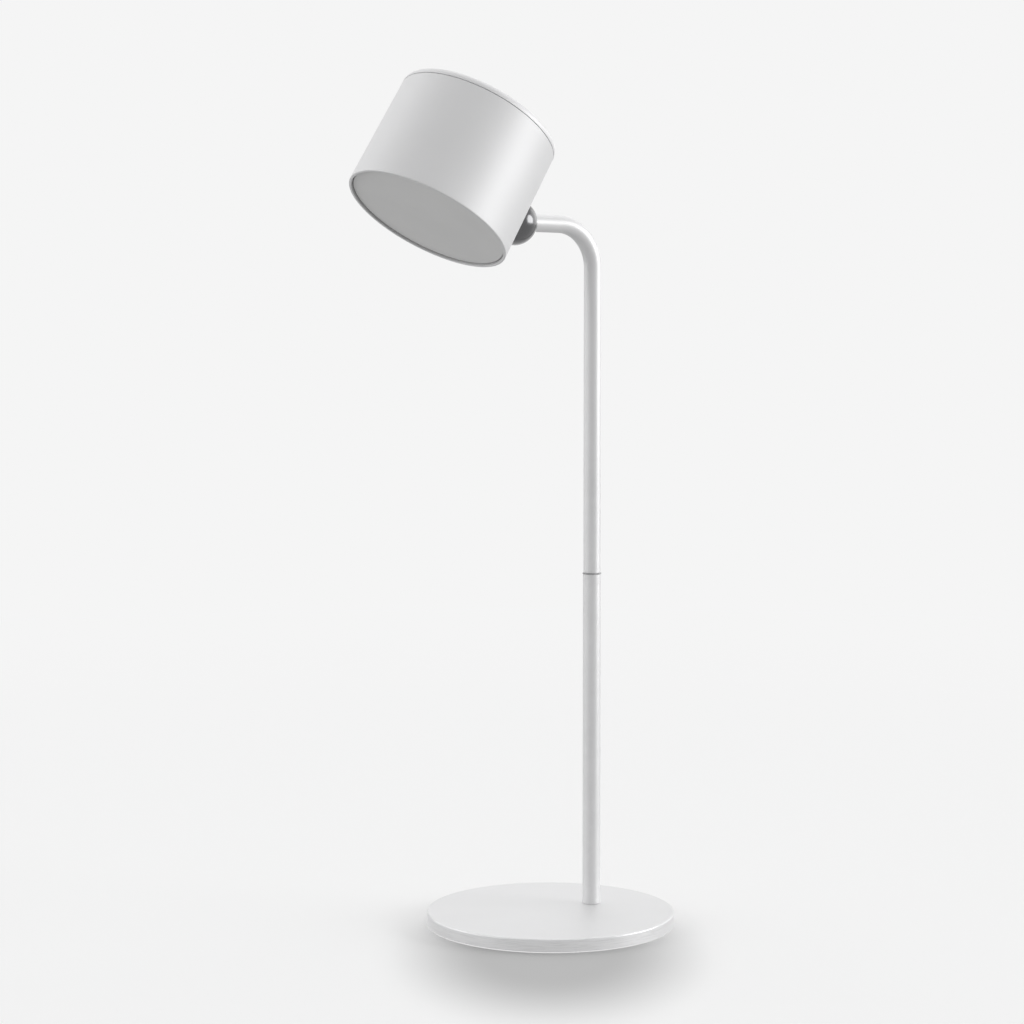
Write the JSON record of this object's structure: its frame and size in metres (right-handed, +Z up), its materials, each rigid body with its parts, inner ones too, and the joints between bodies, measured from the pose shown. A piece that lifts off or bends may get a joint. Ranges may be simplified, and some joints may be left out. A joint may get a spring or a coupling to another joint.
{
  "type": "desk lamp",
  "caption": "Cordless desk lamp: round weighted base, slim two-part pole bent into a short arm, and a drum head on a magnetic ball joint.",
  "frame": {"origin": "centre of the round base's underside, on the desk", "axes": "+Z up along the pole, -Y from the pole towards the head, +X to the right seen from the front"},
  "size_m": [0.165, 0.227, 0.5578],
  "materials": {
    "base_paint": "fine-textured satin white powder coat on steel",
    "tube_paint": "satin white powder coat on steel tube",
    "pad_rubber": "matt anti-slip foam rubber",
    "gasket_rubber": "matt grey rubber",
    "liner_rubber": "matt soft liner",
    "screw_steel": "zinc-plated steel",
    "insert_steel": "turned steel",
    "ball_chrome": "polished chrome",
    "magnet_nickel": "nickel-plated magnet",
    "pot_steel": "zinc-plated steel",
    "socket_plastic": "matt moulded plastic",
    "shade_plastic": "fine-textured satin white moulding",
    "button_plastic": "satin white moulding",
    "switch_plastic": "matt black plastic",
    "board_laminate": "green solder resist",
    "inlet_steel": "bright stamped steel",
    "tray_plastic": "matt moulded plastic",
    "cell_can": "shrink-wrapped cell",
    "contact_steel": "nickel-plated spring steel",
    "plate_aluminium": "plain rolled aluminium",
    "led_board_aluminium": "white solder resist on aluminium",
    "led_plastic": "phosphor-coated light chip",
    "reflector_plastic": "white gloss moulding",
    "diffuser_opal": "frosted opal sheet"
  },
  "bodies": {
    "stand": {"base_plate": "base_paint", "base_pad": "pad_rubber", "pole_bolt": "screw_steel", "pole_washer": "screw_steel", "foot_insert": "insert_steel", "lower_tube": "tube_paint", "joint_socket": "insert_steel", "joint_gasket": "gasket_rubber", "joint_stud": "insert_steel", "upper_tube": "tube_paint", "arm_plug": "insert_steel", "ball_stud": "screw_steel"},
    "ball": {"ball": "ball_chrome"},
    "seat_liner": {"seat_liner": "liner_rubber"},
    "head": {"socket_cup": "socket_plastic", "magnet": "magnet_nickel", "magnet_pot": "pot_steel", "magnet_cover": "socket_plastic", "socket_screws": "screw_steel", "shade_shell": "shade_plastic", "top_cap": "shade_plastic", "cap_screws": "screw_steel", "power_switch": "switch_plastic", "control_board": "board_laminate", "board_parts": "switch_plastic", "board_screws": "screw_steel", "charging_inlet": "inlet_steel", "battery_tray": "tray_plastic", "battery_cells": "cell_can", "cell_contacts": "contact_steel", "tray_screws": "screw_steel", "heat_plate": "plate_aluminium", "plate_screws": "screw_steel", "led_board": "led_board_aluminium", "led_chips": "led_plastic", "led_screws": "screw_steel", "reflector": "reflector_plastic", "diffuser": "diffuser_opal"},
    "power_button": {"power_button": "button_plastic"}
  },
  "joints": [
    {"name": "head_roll", "type": "hinge", "parent": "stand", "child": "ball", "pos_m": [0, -0.0297, 0.4646], "axis": [0, 1, 0], "continuous": true},
    {"name": "head_tilt", "type": "hinge", "parent": "ball", "child": "seat_liner", "pos_m": [0, -0.0297, 0.4646], "axis": [1, 0, 0], "range_deg": [-42, 105]},
    {"name": "head_spin", "type": "hinge", "parent": "seat_liner", "child": "head", "pos_m": [0, -0.0297, 0.4646], "axis": [0, 0.8526, -0.5225], "continuous": true},
    {"name": "power_press", "type": "slide", "parent": "head", "child": "power_button", "axis": [0, -0.5225, -0.8526], "range_m": [0, 0.001], "stiffness_N_per_m": 800, "springref_m": -0.001}
  ]
}
